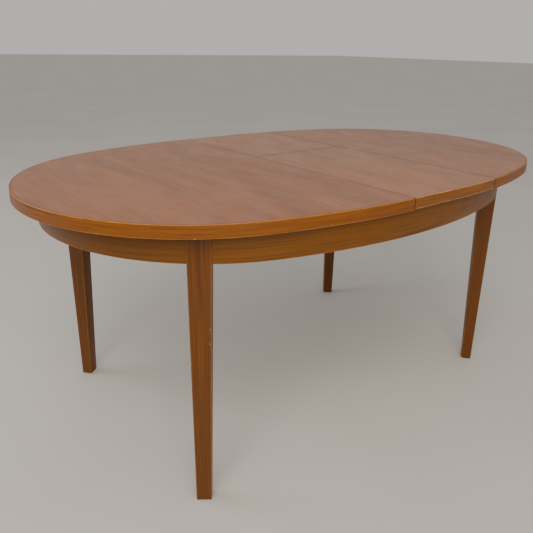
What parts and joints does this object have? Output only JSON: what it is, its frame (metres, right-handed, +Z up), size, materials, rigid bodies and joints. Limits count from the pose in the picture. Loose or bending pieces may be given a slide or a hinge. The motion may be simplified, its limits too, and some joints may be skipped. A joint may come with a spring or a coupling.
{
  "type": "extendable dining table",
  "caption": "Oval dining table whose top parts at the middle on wooden runners and takes a loose folding leaf, on a curved apron with tapered, turned-in legs.",
  "frame": {"origin": "on the floor under the middle of the whole top as pictured; the middle of the four legs is 48.5 mm to the -X side of it and the middle of the leaf 87.5 mm to the +X side", "axes": "+X along the table towards the shorter half-top, which is drawn further out, +Y across the table to the side with the leaf's shorter part, +Z up"},
  "size_m": [1.7849, 1.09, 0.74],
  "materials": {
    "top_veneer": "satin lacquered red-brown veneer, grain across the table",
    "edging": "satin stained solid edging",
    "apron_wood": "satin stained, grain along the rail",
    "leg_wood": "satin stained solid wood, grain along the leg",
    "inner_wood": "planed, unfinished softwood",
    "runner_wood": "planed and waxed beech",
    "dowel_wood": "unfinished beech dowel",
    "steel": "zinc plated",
    "brass": "satin brass",
    "felt": "pressed green felt"
  },
  "bodies": {
    "frame": {"leg_front_left": "leg_wood", "leg_front_right": "leg_wood", "leg_back_left": "leg_wood", "leg_back_right": "leg_wood", "apron_front": "apron_wood", "apron_back": "apron_wood", "apron_left": "apron_wood", "apron_right": "apron_wood", "corner_block_front_left": "inner_wood", "corner_block_front_right": "inner_wood", "corner_block_back_left": "inner_wood", "corner_block_back_right": "inner_wood", "leg_bolts": "steel", "leg_washers": "steel", "leg_nuts": "steel", "cross_rail_left": "inner_wood", "cross_rail_right": "inner_wood", "guide_rail_front": "runner_wood", "guide_rail_back": "runner_wood", "leaf_ledge_front": "inner_wood", "leaf_ledge_back": "inner_wood", "rail_dowels": "dowel_wood", "guide_rail_screws": "steel", "leaf_ledge_screws": "steel", "runner_stops": "runner_wood"},
    "half_top_left": {"half_top_left_panel": "top_veneer", "half_top_left_lipping": "edging", "runner_left_front": "runner_wood", "runner_left_back": "runner_wood", "runner_screws_left": "steel", "locating_pins_left": "dowel_wood", "catch_plates": "brass"},
    "half_top_right": {"half_top_right_panel": "top_veneer", "half_top_right_lipping": "edging", "runner_right_front": "runner_wood", "runner_right_back": "runner_wood", "runner_screws_right": "steel", "locating_pins_right": "dowel_wood", "catch_keepers": "brass"},
    "leaf_front": {"leaf_front_panel": "top_veneer", "leaf_front_lipping": "edging", "leaf_front_hinge_barrels": "brass", "leaf_front_felt": "felt"},
    "leaf_back": {"leaf_back_panel": "top_veneer", "leaf_back_lipping": "edging", "leaf_back_hinge_barrels": "brass", "leaf_back_felt": "felt"},
    "catch_hook_front": {"catch_hook_front": "brass"},
    "catch_hook_back": {"catch_hook_back": "brass"}
  },
  "joints": [
    {"name": "left_half_slide", "type": "slide", "parent": "frame", "child": "half_top_left", "axis": [-1, 0, 0], "range_m": [0, 0.296]},
    {"name": "right_half_slide", "type": "slide", "parent": "frame", "child": "half_top_right", "axis": [1, 0, 0], "range_m": [0, 0.024]},
    {"name": "leaf_lift", "type": "slide", "parent": "frame", "child": "leaf_front", "axis": [0, 0, 1], "range_m": [0, 0.25]},
    {"name": "leaf_fold", "type": "hinge", "parent": "leaf_front", "child": "leaf_back", "pos_m": [0.0875, 0.107, 0.7402], "axis": [1, 0, 0], "range_deg": [0, 180]},
    {"name": "catch_front_turn", "type": "hinge", "parent": "half_top_left", "child": "catch_hook_front", "pos_m": [-0.1165, -0.403, 0.7037], "axis": [0, 0, 1], "range_deg": [0, 90]},
    {"name": "catch_back_turn", "type": "hinge", "parent": "half_top_left", "child": "catch_hook_back", "pos_m": [-0.1165, 0.403, 0.7037], "axis": [0, 0, -1], "range_deg": [0, 90]}
  ]
}
